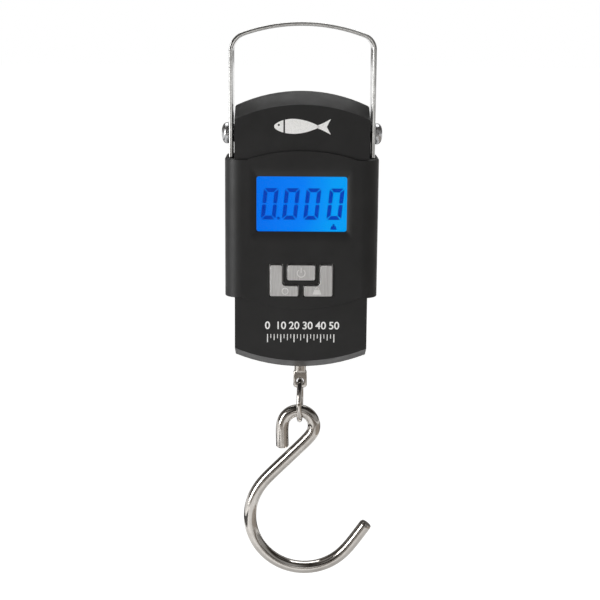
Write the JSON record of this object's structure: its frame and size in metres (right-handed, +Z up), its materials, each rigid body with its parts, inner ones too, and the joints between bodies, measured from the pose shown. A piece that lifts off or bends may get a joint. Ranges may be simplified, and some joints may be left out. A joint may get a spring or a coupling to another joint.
{
  "type": "digital fish scale",
  "caption": "Hanging digital scale with a sliding strap handle, lit display, keys, load cell and an S-shaped hook on a ring.",
  "frame": {"origin": "underside of the handle's arch, on the line of the load, where a hand or a hook bears", "axes": "+Z up along the line of the load, -Y out of the display, +X to the right of someone reading it"},
  "size_m": [0.0636, 0.0288, 0.229],
  "materials": {
    "black_plastic": "moulded black plastic with a fine matt texture",
    "polished_steel": "polished stainless steel",
    "plated_steel": "bright nickel plating",
    "zinc_steel": "zinc plated",
    "brushed_silver": "plastic with a brushed silver face",
    "milled_aluminium": "milled",
    "clear_window": "clear acrylic",
    "blue_display": "lit blue liquid crystal panel",
    "milky_plastic": "milky light guide plastic",
    "pink_rubber": "layered conductive rubber",
    "green_board": "green solder mask",
    "black_epoxy": "black resin",
    "black_nylon": "black nylon",
    "gauge_film": "amber film",
    "cell_jacket": "printed metal jacket",
    "wire_insulation": "soft insulation"
  },
  "bodies": {
    "handle": {"handle": "polished_steel"},
    "housing": {"front_housing": "black_plastic", "rear_housing": "black_plastic", "display_window": "clear_window", "lcd_panel": "blue_display", "backlight_panel": "milky_plastic", "contact_strip": "pink_rubber", "circuit_board": "green_board", "chip_cover": "black_epoxy", "power_switch": "black_epoxy", "tare_switch": "black_epoxy", "unit_switch": "black_epoxy", "load_cell": "milled_aluminium", "strain_gauge_left": "gauge_film", "strain_gauge_right": "gauge_film", "gauge_cable": "wire_insulation", "yoke_bar": "zinc_steel", "yoke_bolt": "zinc_steel", "hanger": "plated_steel", "lock_nut": "zinc_steel", "side_screw_left": "polished_steel", "side_screw_right": "polished_steel", "side_washer_left": "black_nylon", "side_washer_right": "black_nylon", "battery_left": "cell_jacket", "battery_right": "cell_jacket", "battery_spring_left": "zinc_steel", "battery_spring_right": "zinc_steel", "battery_contact_left": "zinc_steel", "battery_contact_right": "zinc_steel", "battery_lead_red": "wire_insulation", "battery_lead_black": "wire_insulation", "case_screw_top_left": "zinc_steel", "case_screw_top_right": "zinc_steel", "case_screw_bottom_left": "zinc_steel", "case_screw_bottom_right": "zinc_steel", "board_screw_top_left": "zinc_steel", "board_screw_top_right": "zinc_steel", "board_screw_bottom_left": "zinc_steel", "board_screw_bottom_right": "zinc_steel"},
    "power_key": {"power_button": "brushed_silver", "power_plunger": "milky_plastic"},
    "tare_key": {"tare_button": "brushed_silver", "tare_plunger": "milky_plastic"},
    "unit_key": {"unit_button": "brushed_silver", "unit_plunger": "milky_plastic"},
    "battery_door": {"battery_door": "black_plastic"},
    "ring": {"hanger_ring": "plated_steel"},
    "hook": {"hook": "plated_steel"}
  },
  "joints": [
    {"name": "handle_slide", "type": "slide", "parent": "handle", "child": "housing", "axis": [0, 0, 1], "range_m": [-0.0215, 0.006]},
    {"name": "power_press", "type": "slide", "parent": "housing", "child": "power_key", "axis": [0, 1, 0], "range_m": [0, 0.0006], "stiffness_N_per_m": 300, "springref_m": -0.002},
    {"name": "tare_press", "type": "slide", "parent": "housing", "child": "tare_key", "axis": [0, 1, 0], "range_m": [0, 0.0006], "stiffness_N_per_m": 300, "springref_m": -0.002},
    {"name": "unit_press", "type": "slide", "parent": "housing", "child": "unit_key", "axis": [0, 1, 0], "range_m": [0, 0.0006], "stiffness_N_per_m": 300, "springref_m": -0.002},
    {"name": "battery_door_release", "type": "slide", "parent": "housing", "child": "battery_door", "axis": [0, 1, 0], "range_m": [0, 0.02]},
    {"name": "ring_swing", "type": "hinge", "parent": "housing", "child": "ring", "pos_m": [0, 0, -0.1431], "axis": [0, 1, 0], "range_deg": [-60, 60]},
    {"name": "hook_swing", "type": "hinge", "parent": "ring", "child": "hook", "pos_m": [0, 0, -0.15562], "axis": [1, 0, 0], "range_deg": [-70, 70]}
  ]
}
